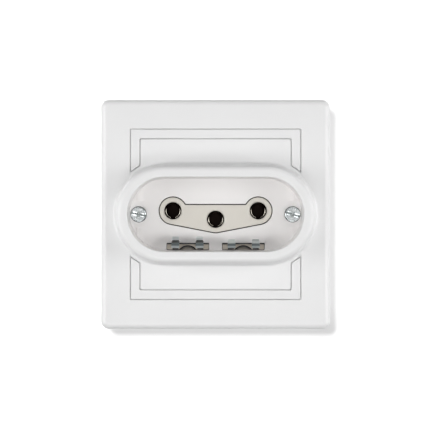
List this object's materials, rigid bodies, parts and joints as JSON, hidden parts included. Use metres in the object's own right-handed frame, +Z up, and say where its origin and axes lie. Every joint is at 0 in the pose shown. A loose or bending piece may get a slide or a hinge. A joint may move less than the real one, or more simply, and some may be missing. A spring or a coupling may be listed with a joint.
{
  "type": "porcelain surface socket",
  "caption": "Square white wall socket with a projecting oval collar, a cream porcelain boss with round pin contacts and sprung side contacts, screwed to a wall.",
  "frame": {"origin": "middle of the porcelain base's back face, on the wall's surface", "axes": "+Y into the wall, so the socket's front looks along -Y; +Z up, +X to the right seen from the front"},
  "size_m": [0.081, 0.047, 0.081],
  "materials": {
    "cover_plastic": "smooth white moulding",
    "inlay_plastic": "smooth white moulding",
    "porcelain": "satin cream glaze",
    "pressed_board": "brown pressed board",
    "zinc_steel": "bright zinc plate",
    "brass": "turned and tarnished",
    "spring_steel": "blued spring steel",
    "plated_strip": "nickel-plated spring strip"
  },
  "bodies": {
    "root": {"front_cover": "cover_plastic", "upper_inlay": "inlay_plastic", "lower_inlay": "inlay_plastic", "porcelain_base": "porcelain", "insulating_plate": "pressed_board", "cover_screw_left": "zinc_steel", "cover_nut_left": "zinc_steel", "cover_screw_right": "zinc_steel", "cover_nut_right": "zinc_steel", "phase_sleeve_left": "brass", "sleeve_spring_left": "spring_steel", "terminal_bar_left": "brass", "terminal_screw_left": "zinc_steel", "phase_sleeve_middle": "brass", "sleeve_spring_middle": "spring_steel", "terminal_bar_middle": "brass", "terminal_screw_middle": "zinc_steel", "phase_sleeve_right": "brass", "sleeve_spring_right": "spring_steel", "terminal_bar_right": "brass", "terminal_screw_right": "zinc_steel", "neutral_contact": "plated_strip", "neutral_washer": "zinc_steel", "neutral_screw": "zinc_steel", "neutral_nut": "zinc_steel", "earth_contact": "plated_strip", "earth_washer": "zinc_steel", "earth_screw": "zinc_steel", "earth_nut": "zinc_steel"}
  },
  "joints": []
}
